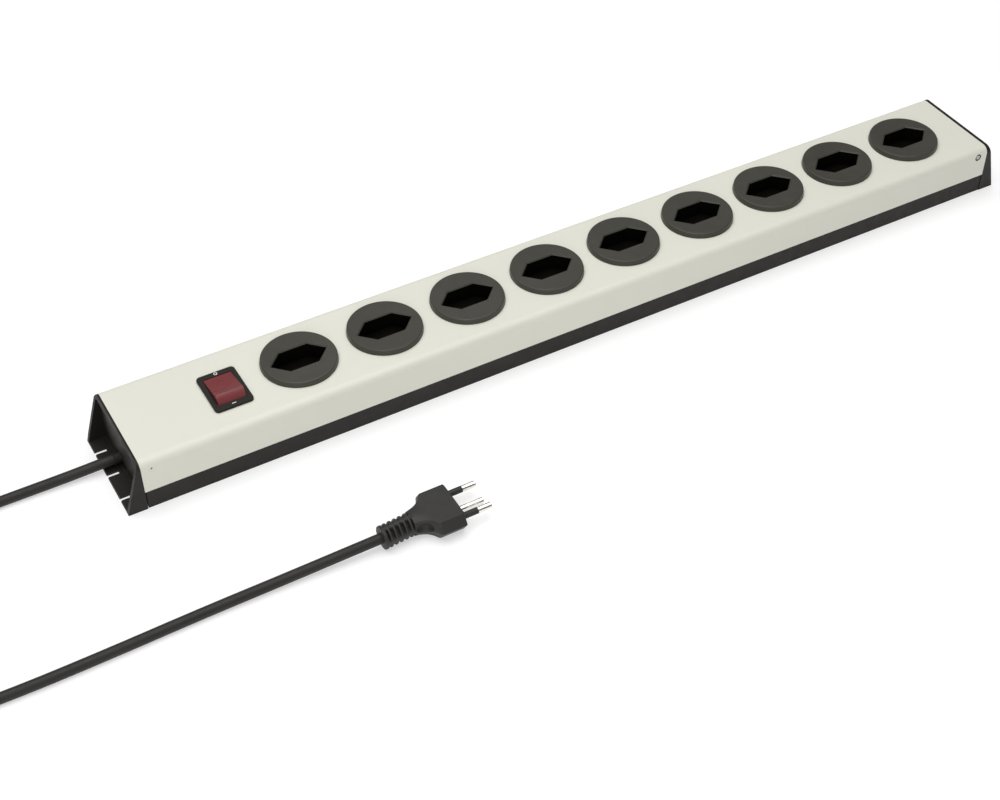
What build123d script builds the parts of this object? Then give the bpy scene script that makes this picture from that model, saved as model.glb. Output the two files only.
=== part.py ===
# Desk power strip: nine three-pin outlets, rocker switch, lead and plug.
# Millimetres. X along the strip, Y across it (+Y is the back), Z up.
# Origin: middle of the strip's footprint, on the surface it stands on.
from build123d import *
import os
from math import cos, sin, tan, pi, radians, degrees, sqrt, hypot

os.makedirs("parts", exist_ok=True)

# ---------------------------------------------------------------- driving dimensions
COVER_TOP = 35.7          # height of the metal cover above the desk
COVER_LOW = 13.3          # lower edge of the cover's front and back faces
COVER_HALF_X = 307.3      # half length of the cover
HALF_Y = 35.0             # half width
SHEET = 1.5               # cover sheet thickness
BEND_R = 5.0              # outside bend radius of the cover

PITCH = 57.0              # outlet spacing
OUTLETS = 9
X_FIRST = -193.6
OUTLET_X = [X_FIRST + PITCH * i for i in range(OUTLETS)]
PIN_OFF = 9.5             # outer pins each side of an outlet's middle
EARTH_OFF = 5.0           # earth pin in front of the outlet's middle
HOLE_R = 20.6             # round holes in the cover

RING_TOP = 39.2
RING_R_BASE = 23.65
RING_R_TOP = 23.1
INSERT_R = 20.4
INSERT_BOTTOM = 25.2
RECESS_HALF_X = 18.0
RECESS_HALF_Y = 8.9
RECESS_FLOOR = 28.2
PIN_HOLE_R = 2.3

SCREW_X = 301.0
SCREW_Z = 30.0

CAP_JOIN = 307.35         # where each end cap meets the cover
CAP_BASE_X = 319.5        # end of the cap at the desk
CAP_SLANT = 9.7           # how far the end leans back at the top
CAP_WALL = 2.6

SWITCH_X, SWITCH_Y = -242.0, -2.1
PIVOT_Z = 30.7            # rocker axis
ROCKER_R = 13.6
ROCKER_REST = -12.2       # degrees about +X from level
SEESAW_DROP = 7.8         # see-saw axis below the rocker axis
SEESAW_REST = 8.0
SEESAW_Z = PIVOT_Z - SEESAW_DROP

CORD_R = 3.2
CORD_EXIT = (-312.0, 6.6, 6.1)
TAIL_END_X = -268.0

PLUG_FACE = -157.2
PLUG_Y = -125.5
PLUG_Z = 7.75
PIN_R = 2.0
PIN_TAIL_R = 1.5          # the pins are turned down inside the plug and under the sleeves
PIN_LEN = 19.0

COIL_X = -450.0
COIL_R_OUT = 44.2         # cord centre line, outermost turn
COIL_R_IN = 31.4
COIL_Y = 8.8 - COIL_R_OUT

# ---------------------------------------------------------------- helpers
made = []


def save(builder, node):
    builder.part.label = node
    export_step(builder.part, "parts/" + node + ".step")
    made.append((node, builder.part.volume, len(builder.part.solids())))


def corner_radii(points):
    out = []
    for a, b, c in zip(points, points[1:], points[2:]):
        u = Vector(*b) - Vector(*a)
        w = Vector(*c) - Vector(*b)
        turn = u.get_angle(w)
        out.append(0.45 * min(u.length, w.length) / tan(radians(turn) / 2))
    return out


def path_length(points, radii):
    total = sum((Vector(*q) - Vector(*p)).length for p, q in zip(points, points[1:]))
    for a, b, c, r in zip(points, points[1:], points[2:], radii):
        turn = radians((Vector(*b) - Vector(*a)).get_angle(Vector(*c) - Vector(*b)))
        total += r * turn - 2 * r * tan(turn / 2)
    return total


def report_tube(node, builder, points, radii, r):
    length = path_length(points, radii)
    turns = [(Vector(*b) - Vector(*a)).get_angle(Vector(*c) - Vector(*b))
             for a, b, c in zip(points, points[1:], points[2:])]
    print(node, "length %.1f" % length,
          "radii", [round(v, 1) for v in radii],
          "turns", [round(v, 1) for v in turns],
          "volume/section*length %.5f" % (builder.part.volume / (pi * r * r * length)))
    return length


def tilt(y, z, degrees_about_x):
    a = radians(degrees_about_x)
    return (y * cos(a) - z * sin(a), y * sin(a) + z * cos(a))


# ---------------------------------------------------------------- cover
with BuildPart() as cover:
    with BuildSketch(Plane.YZ.offset(-COVER_HALF_X)) as outer_section:
        with Locations((0, (COVER_TOP + COVER_LOW) / 2)):
            Rectangle(2 * HALF_Y, COVER_TOP - COVER_LOW)
        fillet(outer_section.vertices().sort_by(Axis.Y)[-2:], BEND_R)
    extrude(amount=2 * COVER_HALF_X)
    with BuildSketch(Plane.YZ.offset(-COVER_HALF_X)) as inner_section:
        with Locations((0, (COVER_TOP - SHEET + COVER_LOW - 5) / 2)):
            Rectangle(2 * (HALF_Y - SHEET), COVER_TOP - SHEET - COVER_LOW + 5)
        fillet(inner_section.vertices().sort_by(Axis.Y)[-2:], BEND_R - SHEET)
    extrude(amount=2 * COVER_HALF_X, mode=Mode.SUBTRACT)
    with Locations(*[(x, 0, COVER_TOP) for x in OUTLET_X]):
        Cylinder(HOLE_R, 8, mode=Mode.SUBTRACT)
    with Locations((SWITCH_X, SWITCH_Y, COVER_TOP)):
        Box(22.3, 30.0, 8, mode=Mode.SUBTRACT)
    with Locations((-SCREW_X, 0, SCREW_Z), (SCREW_X, 0, SCREW_Z)):
        Cylinder(2.5, 90, rotation=(90, 0, 0), mode=Mode.SUBTRACT)
    # welded earth stud under the top
    with Locations((-275, 20, COVER_TOP - SHEET - 2.45)):
        Cylinder(1.5, 5.1)
save(cover, "cover")

# ---------------------------------------------------------------- base tray
with BuildPart() as base_tray:
    with BuildSketch(Plane.YZ.offset(-306.8)):
        with BuildLine():
            Polyline((-34.6, 0), (34.6, 0), (34.6, 13.0), (33.2, 13.0), (33.2, 24.0),
                     (31.7, 24.0), (31.7, 11.5), (33.1, 11.5), (33.1, 1.5),
                     (-33.1, 1.5), (-33.1, 11.5), (-31.7, 11.5), (-31.7, 24.0),
                     (-33.2, 24.0), (-33.2, 13.0), (-34.6, 13.0), close=True)
        make_face()
    extrude(amount=613.6)
    # cord saddle and the two posts of the cord clamp
    with Locations((-274, 6.6, 2.2)):
        Box(8, 8, 1.4)
    with Locations((-274, 6.6 - 8.6, 3.75), (-274, 6.6 + 8.6, 3.75)):
        Cylinder(3.0, 4.5)
    with Locations((-274, 6.6, 6.1)):
        Cylinder(3.2, 10, rotation=(0, 90, 0), mode=Mode.SUBTRACT)
    with Locations((-274, 6.6 - 8.6, 4.2), (-274, 6.6 + 8.6, 4.2)):
        Cylinder(1.25, 3.6, mode=Mode.SUBTRACT)
save(base_tray, "base_tray")


# ---------------------------------------------------------------- end caps
def cap_shell(side):
    # outside section of the strip, carried out to the leaning end
    x0 = side * CAP_JOIN
    with BuildPart() as shell:
        with BuildSketch(Plane.YZ.offset(x0)) as outside:
            with Locations((0, COVER_TOP / 2)):
                Rectangle(2 * HALF_Y, COVER_TOP)
            fillet(outside.vertices().sort_by(Axis.Y)[-2:], BEND_R)
        extrude(amount=side * 14)
        with BuildSketch(Plane.XZ):
            with BuildLine():
                Polyline((side * CAP_BASE_X, -1), (side * (CAP_BASE_X - CAP_SLANT * 36.7 / 35.7), 36.7),
                         (side * 330, 36.7), (side * 330, -1), close=True)
            make_face()
        extrude(amount=60, both=True, mode=Mode.SUBTRACT)
    return shell.part


with BuildPart() as end_cap_cord:
    add(cap_shell(-1))
    # open hood
    with BuildSketch(Plane.YZ.offset(-CAP_JOIN)) as hollow:
        with BuildLine():
            Polyline((-HALF_Y + CAP_WALL, 2.2), (HALF_Y - CAP_WALL, 2.2),
                     (HALF_Y - CAP_WALL, COVER_TOP - CAP_WALL),
                     (-HALF_Y + CAP_WALL, COVER_TOP - CAP_WALL), close=True)
        make_face()
        fillet(hollow.vertices().sort_by(Axis.Y)[-2:], 2.8)
    extrude(amount=-20, mode=Mode.SUBTRACT)
    # collar that slides into the cover
    with BuildSketch(Plane.YZ.offset(-CAP_JOIN)) as collar:
        with Locations((0, 29.2)):
            Rectangle(66.6, 9.6)
        fillet(collar.vertices().sort_by(Axis.Y)[-2:], 3.3)
        with Locations((0, 27.6)):
            Rectangle(61.6, 8.8, mode=Mode.SUBTRACT)
    extrude(amount=11.0)
    # end wall
    with BuildSketch(Plane.YZ.offset(-CAP_JOIN)):
        with BuildLine():
            Polyline((-31.4, 1.7), (31.4, 1.7), (31.4, 24.4), (33.3, 24.4), (33.3, 30.7),
                     (30.0, 34.0), (-30.0, 34.0), (-33.3, 30.7), (-33.3, 24.4),
                     (-31.4, 24.4), close=True)
        make_face()
    extrude(amount=2.3)
    # cord outlet arch in the end wall
    with BuildSketch(Plane.YZ.offset(-CAP_JOIN - 1)):
        with Locations((7.2, 3.0)):
            Rectangle(16, 6.0)
        with Locations((7.2, 6.0)):
            Circle(8.0)
        with Locations((7.2, -3.0 + 1.05)):
            Rectangle(18, 6.3, mode=Mode.SUBTRACT)
    extrude(amount=5, mode=Mode.SUBTRACT)
    # slots in the floor tongue
    with Locations(*[(-CAP_BASE_X + 3.4, y, 1.1) for y in (-21.2, 0.0, 21.2)]):
        Box(6.8 + 0.6, 1.9, 4, mode=Mode.SUBTRACT)
    # screw bosses: a nub fills each hole in the cover
    for s in (-1, 1):
        with Locations((-SCREW_X, s * 28.9, 29.0)):
            Box(7.0, 5.2, 7.0)
        with Locations((-SCREW_X, s * 32.9, SCREW_Z)):
            Cylinder(2.4, 4.0, rotation=(90, 0, 0))
        with Locations((-SCREW_X, s * 34.4, SCREW_Z)):
            Cylinder(1.95, 1.2, rotation=(90, 0, 0), mode=Mode.SUBTRACT)
        with Locations((-SCREW_X, s * 31.0, SCREW_Z)):
            Cylinder(1.25, 8.6, rotation=(90, 0, 0), mode=Mode.SUBTRACT)
save(end_cap_cord, "end_cap_cord")

with BuildPart() as end_cap_far:
    add(cap_shell(1))
    with BuildPart(mode=Mode.PRIVATE) as room:
        with BuildSketch(Plane.YZ.offset(CAP_JOIN)) as hollow2:
            with Locations((0, (2.2 + COVER_TOP - CAP_WALL) / 2)):
                Rectangle(2 * (HALF_Y - CAP_WALL), COVER_TOP - CAP_WALL - 2.2)
            fillet(hollow2.vertices().sort_by(Axis.Y)[-2:], 2.8)
        extrude(amount=14)
        with BuildSketch(Plane.XZ):
            with BuildLine():
                Polyline((CAP_BASE_X - 2.5, -1), (CAP_BASE_X - 2.5 - CAP_SLANT * 36.7 / 35.7, 36.7),
                         (330, 36.7), (330, -1), close=True)
            make_face()
        extrude(amount=60, both=True, mode=Mode.SUBTRACT)
    add(room.part, mode=Mode.SUBTRACT)
    with BuildSketch(Plane.YZ.offset(CAP_JOIN)) as collar2:
        with Locations((0, 29.2)):
            Rectangle(66.6, 9.6)
        fillet(collar2.vertices().sort_by(Axis.Y)[-2:], 3.3)
        with Locations((0, 27.6)):
            Rectangle(61.6, 8.8, mode=Mode.SUBTRACT)
    extrude(amount=-11.0)
    for s in (-1, 1):
        with Locations((SCREW_X, s * 28.9, 29.0)):
            Box(7.0, 5.2, 7.0)
        with Locations((SCREW_X, s * 32.9, SCREW_Z)):
            Cylinder(2.4, 4.0, rotation=(90, 0, 0))
        with Locations((SCREW_X, s * 34.4, SCREW_Z)):
            Cylinder(1.95, 1.2, rotation=(90, 0, 0), mode=Mode.SUBTRACT)
        with Locations((SCREW_X, s * 31.0, SCREW_Z)):
            Cylinder(1.25, 8.6, rotation=(90, 0, 0), mode=Mode.SUBTRACT)
save(end_cap_far, "end_cap_far")

with BuildPart() as cover_screws:
    for sx in (-1, 1):
        for s in (-1, 1):
            with Locations((sx * SCREW_X, s * 34.35, SCREW_Z)):
                Cylinder(1.95, 1.1, rotation=(90, 0, 0))
            with Locations((sx * SCREW_X, s * 31.0, SCREW_Z)):
                Cylinder(1.25, 6.0, rotation=(90, 0, 0))
            with Locations((sx * SCREW_X, s * 34.8, SCREW_Z)):
                Box(2.4, 0.7, 0.45, mode=Mode.SUBTRACT)
                Box(0.45, 0.7, 2.4, mode=Mode.SUBTRACT)
save(cover_screws, "cover_screws")

# ---------------------------------------------------------------- outlet inserts
with BuildPart() as insert:
    with BuildSketch(Plane.XZ):
        with BuildLine():
            Polyline((0, INSERT_BOTTOM), (INSERT_R, INSERT_BOTTOM), (INSERT_R, COVER_TOP),
                     (RING_R_BASE, COVER_TOP), (RING_R_TOP, RING_TOP), (0, RING_TOP), close=True)
        make_face()
    revolve(axis=Axis.Z)
    fillet(insert.edges().filter_by(GeomType.CIRCLE).sort_by(Axis.Z)[-1], 0.9)
    # long hexagonal recess
    with BuildSketch(Plane.XY.offset(RECESS_FLOOR)):
        with BuildLine():
            Polyline((-RECESS_HALF_X, 0), (-RECESS_HALF_X + RECESS_HALF_Y, -RECESS_HALF_Y),
                     (RECESS_HALF_X - RECESS_HALF_Y, -RECESS_HALF_Y), (RECESS_HALF_X, 0),
                     (RECESS_HALF_X - RECESS_HALF_Y, RECESS_HALF_Y),
                     (-RECESS_HALF_X + RECESS_HALF_Y, RECESS_HALF_Y), close=True)
        make_face()
    extrude(amount=20, mode=Mode.SUBTRACT)
    chamfer(insert.faces().sort_by(Axis.Z)[-1].inner_wires()[0].edges(), 0.7)
    with Locations((-PIN_OFF, 0, 27), (PIN_OFF, 0, 27), (0, -EARTH_OFF, 27)):
        Cylinder(PIN_HOLE_R, 8, mode=Mode.SUBTRACT)
    # catches under the sheet, front and back
    for s in (-1, 1):
        with BuildSketch(Plane.YZ.offset(-3)):
            with BuildLine():
                Polyline((s * 19.5, 30.0), (s * 20.4, 30.0), (s * 21.9, 33.2), (s * 21.9, 34.1),
                         (s * 19.5, 34.1), close=True)
            make_face()
        extrude(amount=6)
for n, x in enumerate(OUTLET_X):
    with BuildPart() as placed:
        add(insert.part.moved(Location((x, 0, 0))))
    save(placed, "socket_insert_%d" % (n + 1))

# ---------------------------------------------------------------- contact carrier and busbars
CARRIER_X0, CARRIER_X1 = -222.5, 291.3
BAR_LINE_Y, BAR_NEUTRAL_Y = 6.5, -11.0
RIB_X = [CARRIER_X0 + 0.8] + [X_FIRST + PITCH * (i + 0.5) for i in range(OUTLETS - 1)]
with BuildPart() as contact_carrier:
    cx = (CARRIER_X0 + CARRIER_X1) / 2
    with Locations((cx, 0, (1.5 + INSERT_BOTTOM) / 2)):
        Box(CARRIER_X1 - CARRIER_X0, 35.0, INSERT_BOTTOM - 1.5)
    with Locations((cx, 0, 3.5 + 15)):
        Box(CARRIER_X1 - CARRIER_X0 - 3.2, 31.8, 30, mode=Mode.SUBTRACT)
    with Locations(*[(x, 0, (3.5 + 22) / 2) for x in RIB_X[1:]]):
        Box(1.6, 31.8, 18.5)
    with Locations(*[(x, BAR_LINE_Y, 22) for x in RIB_X]):
        Box(2.4, 1.2, 20, mode=Mode.SUBTRACT)
    with Locations(*[(x, BAR_NEUTRAL_Y, 22) for x in RIB_X]):
        Box(2.4, 1.2, 20, mode=Mode.SUBTRACT)
    with Locations(*[(x, -EARTH_OFF, 3.5 + 15) for x in RIB_X]):
        Box(2.4, 5.6, 30, mode=Mode.SUBTRACT)
save(contact_carrier, "contact_carrier")


def spring_contact(x, y, z_low):
    # two leaves that grip one pin, joined underneath
    with Locations((x, y + 2.4, (z_low + 24) / 2), (x, y - 2.4, (z_low + 24) / 2)):
        Box(4.0, 0.6, 24 - z_low)
    with Locations((x, y, z_low + 0.4)):
        Box(4.0, 5.4, 0.8)


with BuildPart() as busbar_line:
    with Locations(((-224.5 + 258) / 2, BAR_LINE_Y, 15)):
        Box(258 + 224.5, 0.8, 6.0)
    for x in OUTLET_X:
        spring_contact(x - PIN_OFF, 0, 8.2)
        with Locations((x - PIN_OFF, (2.5 + BAR_LINE_Y) / 2, 14.5)):
            Box(0.8, BAR_LINE_Y - 2.5, 4.0)
save(busbar_line, "busbar_line")

with BuildPart() as busbar_neutral:
    with Locations(((-224.5 + 275) / 2, BAR_NEUTRAL_Y, 15)):
        Box(275 + 224.5, 0.8, 6.0)
    for x in OUTLET_X:
        spring_contact(x + PIN_OFF, 0, 8.2)
        with Locations((x + PIN_OFF, (-2.5 + BAR_NEUTRAL_Y) / 2, 14.5)):
            Box(0.8, -BAR_NEUTRAL_Y - 2.5, 4.0)
save(busbar_neutral, "busbar_neutral")

with BuildPart() as busbar_earth:
    with Locations(((-224.5 + 265) / 2, -EARTH_OFF, 3.9)):
        Box(265 + 224.5, 5.0, 0.8)
    for x in OUTLET_X:
        spring_contact(x, -EARTH_OFF, 3.5)
save(busbar_earth, "busbar_earth")

# ---------------------------------------------------------------- switch
with BuildPart() as breaker_housing:
    with BuildSketch(Plane.XY.offset(COVER_TOP)):
        with Locations((SWITCH_X, SWITCH_Y)):
            RectangleRounded(24.1, 32.5, 2.5)
    extrude(amount=2.0)
    fillet(breaker_housing.faces().sort_by(Axis.Z)[-1].outer_wire().edges(), 0.6)
    with Locations((SWITCH_X, SWITCH_Y, (14 + COVER_TOP) / 2)):
        Box(22.0, 29.6, COVER_TOP - 14)
    # catches under the sheet, left and right
    with Locations((SWITCH_X - 11.2, SWITCH_Y, 32.8), (SWITCH_X + 11.2, SWITCH_Y, 32.8)):
        Box(1.0, 8.0, 2.6)
    # room for the rocker and the contacts
    with Locations((SWITCH_X, SWITCH_Y, PIVOT_Z)):
        Cylinder(13.9, 18.0, rotation=(0, 90, 0), mode=Mode.SUBTRACT)
    with Locations((SWITCH_X, SWITCH_Y, (15.5 + PIVOT_Z) / 2)):
        Box(18.0, 27.8, PIVOT_Z - 15.5, mode=Mode.SUBTRACT)
    # rocker bearings
    with Locations((SWITCH_X, SWITCH_Y, PIVOT_Z)):
        Cylinder(1.55, 20.6, rotation=(0, 90, 0), mode=Mode.SUBTRACT)
    # terminal slots in the floor
    with Locations((SWITCH_X, SWITCH_Y, 14.75), (SWITCH_X, SWITCH_Y + 7.5, 14.75)):
        Box(5.0, 1.0, 3, mode=Mode.SUBTRACT)
save(breaker_housing, "breaker_housing")

A0, A1 = radians(46.9), radians(73.6)


with BuildPart() as rocker_level:
    with BuildSketch(Plane.YZ.offset(-8.7)):
        with BuildLine():
            a = sin(A0) * ROCKER_R
            top = cos(A0) * ROCKER_R
            ThreePointArc((-a, top), (0, top - 0.55), (a, top))
            CenterArc((0, 0), ROCKER_R, 90 - degrees(A1), degrees(A1 - A0))
            CenterArc((0, 0), ROCKER_R, 90 + degrees(A0), degrees(A1 - A0))
            Polyline((ROCKER_R * sin(A1), ROCKER_R * cos(A1)), (3.0, -2.6), (-3.0, -2.6),
                     (-ROCKER_R * sin(A1), ROCKER_R * cos(A1)))
        make_face()
    extrude(amount=17.4)
    fillet(rocker_level.edges().filter_by(Axis.X).sort_by(Axis.Z)[-2:], 0.5)
    # hollow underneath
    with BuildSketch(Plane.YZ.offset(-7.2)):
        with BuildLine():
            ThreePointArc((-8.7, 7.3), (0, 6.85), (8.7, 7.3))
            ThreePointArc((8.7, 7.3), (sin(radians(60)) * 12.1, cos(radians(60)) * 12.1), (11.9, 2.2))
            Polyline((11.9, 2.2), (11.9, -4), (-11.9, -4), (-11.9, 2.2))
            ThreePointArc((-11.9, 2.2), (-sin(radians(60)) * 12.1, cos(radians(60)) * 12.1), (-8.7, 7.3))
        make_face()
    extrude(amount=14.4, mode=Mode.SUBTRACT)
    # guide tube for the spring plunger
    with Locations((0, 0, 2.2)):
        Cylinder(2.6, 10.0)
    with Locations((0, 0, 1.6)):
        Cylinder(1.6, 10.4, mode=Mode.SUBTRACT)
    # bearing pins
    with Locations((-8.6, 0, 0), (8.6, 0, 0)):
        Cylinder(1.5, 2.8, rotation=(0, 90, 0))
REST = Location((SWITCH_X, SWITCH_Y, PIVOT_Z), (ROCKER_REST, 0, 0))
with BuildPart() as rocker:
    add(rocker_level.part.moved(REST))
save(rocker, "rocker")

with BuildPart() as plunger_level:
    with Locations((0, 0, -1.9)):
        Cylinder(1.5, 9.0)
    fillet(plunger_level.edges().filter_by(GeomType.CIRCLE).sort_by(Axis.Z)[0], 1.2)
with BuildPart() as plunger:
    add(plunger_level.part.moved(REST))
save(plunger, "plunger")

with BuildPart() as spring_level:
    with BuildLine():
        Helix(pitch=0.95, height=3.6, radius=1.2, center=(0, 0, 2.85))
    with BuildSketch(Plane(origin=(1.2, 0, 2.85), x_dir=(1, 0, 0), z_dir=(0, 1, 0))):
        Circle(0.22)
    sweep(is_frenet=True)
with BuildPart() as rocker_spring:
    add(spring_level.part.moved(REST))
save(rocker_spring, "rocker_spring")

with BuildPart() as seesaw_level:
    with Locations((0, 0, 0.5)):
        Box(5.0, 16.0, 1.0)
    with Locations((0, 6.3, -0.4)):
        Cylinder(1.5, 0.8)
    # round groove that rocks on the centre terminal's edge
    Cylinder(0.7, 6.0, rotation=(0, 90, 0), mode=Mode.SUBTRACT)
with BuildPart() as contact_seesaw:
    add(seesaw_level.part.moved(Location((SWITCH_X, SWITCH_Y, SEESAW_Z), (SEESAW_REST, 0, 0))))
save(contact_seesaw, "contact_seesaw")

with BuildPart() as centre_terminal:
    with Locations((SWITCH_X, SWITCH_Y, (8 + SEESAW_Z) / 2)):
        Box(5.0, 0.8, SEESAW_Z - 8)
    with Locations((SWITCH_X, SWITCH_Y, SEESAW_Z)):
        Cylinder(0.4, 5.0, rotation=(0, 90, 0))
save(centre_terminal, "centre_terminal")

FIXED_TOP = PIVOT_Z - 10.05
with BuildPart() as fixed_contact:
    with Locations((SWITCH_X, SWITCH_Y + 7.5, (8 + FIXED_TOP - 0.8) / 2)):
        Box(5.0, 1.0, FIXED_TOP - 0.8 - 8)
    with Locations((SWITCH_X, SWITCH_Y + 6.0, FIXED_TOP - 1.3)):
        Box(5.0, 4.0, 1.0)
    with Locations((SWITCH_X, SWITCH_Y + 6.0, FIXED_TOP - 0.45)):
        Cylinder(1.5, 0.9)
save(fixed_contact, "fixed_contact")

# ---------------------------------------------------------------- lead inside the housing
with BuildPart() as cord_tail:
    with Locations(((CORD_EXIT[0] + TAIL_END_X) / 2, CORD_EXIT[1], CORD_EXIT[2])):
        Cylinder(CORD_R, TAIL_END_X - CORD_EXIT[0], rotation=(0, 90, 0))
save(cord_tail, "cord_tail")

with BuildPart() as cord_bush:
    # tapered sleeve, 28 mm, through the end wall
    with BuildSketch(Plane.XY.offset(CORD_EXIT[2])):
        with BuildLine():
            Polyline((-312.0, 6.6), (-312.0, 6.6 + 3.65), (-307.35, 6.6 + 3.85), (-303.0, 6.6 + 4.5),
                     (-284.0, 6.6 + 3.9), (-284.0, 6.6), close=True)
        make_face()
    revolve(axis=Axis((0, CORD_EXIT[1], CORD_EXIT[2]), (1, 0, 0)))
    # block that fills the outlet, and the flange behind it
    with BuildSketch(Plane.YZ.offset(-CAP_JOIN + 0.1)):
        with Locations((7.2, 3.7)):
            Rectangle(15.8, 4.6)
        with Locations((7.2, 6.0)):
            Circle(7.9)
        with Locations((7.2, -1.0)):
            Rectangle(18, 5.5, mode=Mode.SUBTRACT)
    extrude(amount=2.3)
    with BuildSketch(Plane.YZ.offset(-CAP_JOIN + 2.35)):
        with Locations((7.2, 9.2)):
            Rectangle(22, 15.2)
    extrude(amount=2.0)
    with Locations((-298, CORD_EXIT[1], CORD_EXIT[2])):
        Cylinder(CORD_R, 40, rotation=(0, 90, 0), mode=Mode.SUBTRACT)
save(cord_bush, "cord_bush")

with BuildPart() as cord_clamp:
    with Locations((-274, 6.6, 8.3)):
        Box(8.0, 23.6, 4.6)
    with Locations((-274, 6.6, CORD_EXIT[2])):
        Cylinder(CORD_R, 12, rotation=(0, 90, 0), mode=Mode.SUBTRACT)
    with Locations((-274, 6.6 - 8.6, 8), (-274, 6.6 + 8.6, 8)):
        Cylinder(1.6, 12, mode=Mode.SUBTRACT)
save(cord_clamp, "cord_clamp")

with BuildPart() as clamp_screws:
    for s in (-1, 1):
        with Locations((-274, 6.6 + s * 8.6, 11.6)):
            Cylinder(2.6, 2.0)
        with Locations((-274, 6.6 + s * 8.6, 6.8)):
            Cylinder(1.25, 8.0)
        with Locations((-274, 6.6 + s * 8.6, 12.4)):
            Box(0.6, 4.0, 1.0, mode=Mode.SUBTRACT)
save(clamp_screws, "clamp_screws")

WIRE_R = 1.1


def wire(node, points, radii, r=WIRE_R):
    with BuildPart() as w:
        with BuildLine() as route:
            FilletPolyline(*points, radius=radii)
        with BuildSketch(Plane(origin=route.line @ 0, z_dir=route.line % 0)):
            Circle(r)
        sweep()
    save(w, node)
    report_tube(node, w, points, radii, r)


wire("conductor_line", [(TAIL_END_X, 6.6, 7.6), (-259, 6.6, 7.6), (-252, SWITCH_Y, 10.5),
                        (SWITCH_X - 2.5, SWITCH_Y, 10.5)], [4, 4])
wire("conductor_neutral", [(TAIL_END_X, 5.2, 5.2), (-260, 5.2, 5.2), (-252, -11, 5.2),
                           (-233, -11, 5.2), (-228.2, -11, 15), (-224.5, -11, 15)], [4, 4, 3, 3])
wire("conductor_earth", [(TAIL_END_X, 8.0, 5.2), (-252, 8.0, 5.2), (-236, -6.3, 3.9),
                         (-224.5, -6.3, 3.9)], [5, 5])
wire("conductor_switched", [(SWITCH_X + 2.5, SWITCH_Y + 7.5, 10.4), (-232.5, SWITCH_Y + 7.5, 10.4),
                            (-227.9, BAR_LINE_Y, 15), (-224.5, BAR_LINE_Y, 15)], [3, 3])
wire("conductor_bond", [(-262, 20, 32.1), (-228, 20, 32.1), (-228, 19.5, 3.9), (-228, -3.7, 3.9),
                        (-224.5, -3.7, 3.9)], [5, 5, 1.9])

with BuildPart() as earth_lug:
    with Locations((-275, 20, COVER_TOP - SHEET - 0.4)):
        Cylinder(3.6, 0.8)
    with Locations((-270, 20, COVER_TOP - SHEET - 0.4)):
        Box(10, 3.4, 0.8)
    with Locations((-264.5, 20, 32.1)):
        Cylinder(1.9, 5.0, rotation=(0, 90, 0))
    with Locations((-275, 20, COVER_TOP - SHEET)):
        Cylinder(1.5, 4, mode=Mode.SUBTRACT)
save(earth_lug, "earth_lug")

with BuildPart() as earth_nut:
    with BuildSketch(Plane.XY.offset(COVER_TOP - SHEET - 3.2)):
        with Locations((-275, 20)):
            RegularPolygon(radius=2.75, side_count=6, major_radius=False)
            Circle(1.5, mode=Mode.SUBTRACT)
    extrude(amount=2.4)
save(earth_nut, "earth_nut")

# ---------------------------------------------------------------- free lead
RUN_OUT = [CORD_EXIT, (-332, 7.3, 4.8), (-361, 8.7, 3.4), (-403, 9.1, 3.3), (-441, 8.8, 3.3)]
RUN_PLUG = [(COIL_X - COIL_R_OUT, COIL_Y - 6, 9.7), (-494.3, -64, 7.4), (-490, -91, 4.0), (-475.5, -112, 3.3),
            (-451, -123.5, 3.3), (-416, -125.1, 3.3), (-368, -123.6, 3.3), (-311, -122.4, 3.3),
            (-258, -123.2, 4.4), (-222, -125.2, 7.2), (-204, PLUG_Y, PLUG_Z)]
total = 0
for node, points in (("cord_run_out", RUN_OUT), ("cord_run_plug", RUN_PLUG)):
    radii = corner_radii(points)
    with BuildPart() as tube:
        with BuildLine() as route:
            FilletPolyline(*points, radius=radii)
        with BuildSketch(Plane(origin=route.line @ 0, z_dir=route.line % 0)):
            Circle(CORD_R)
        sweep()
    save(tube, node)
    total += report_tube(node, tube, points, radii, CORD_R)

with BuildPart() as cord_coil:
    with Locations((COIL_X, COIL_Y, 0.1 + 6.45)):
        Cylinder(COIL_R_OUT + CORD_R, 12.9)
        Cylinder(COIL_R_IN - CORD_R, 20, mode=Mode.SUBTRACT)
    # the tie passes under and over the turns
    with Locations((COIL_X, COIL_Y - (COIL_R_OUT + COIL_R_IN) / 2, 0.5)):
        Box(8.2, 26, 1.1, mode=Mode.SUBTRACT)
save(cord_coil, "cord_coil")

with BuildPart() as coil_tie:
    mid_y = COIL_Y - (COIL_R_OUT + COIL_R_IN) / 2
    with Locations((COIL_X, mid_y, 7.0)):
        Box(8.0, 22.4, 13.9)
        Box(10.0, 20.2, 12.1, mode=Mode.SUBTRACT)
    edges = coil_tie.edges().filter_by(Axis.X)
    fillet(edges.filter_by(lambda e: abs(e.center().Y - mid_y) > 11), 1.0)
save(coil_tie, "coil_tie")

# ---------------------------------------------------------------- plug
def hexagon(tip, flat, half_height):
    return [(-tip, 0), (-flat, -half_height), (flat, -half_height), (tip, 0),
            (flat, half_height), (-flat, half_height)]


def plug_plane(x):
    return Plane(origin=(x, PLUG_Y, PLUG_Z), x_dir=(0, 1, 0), z_dir=(1, 0, 0))


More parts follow.
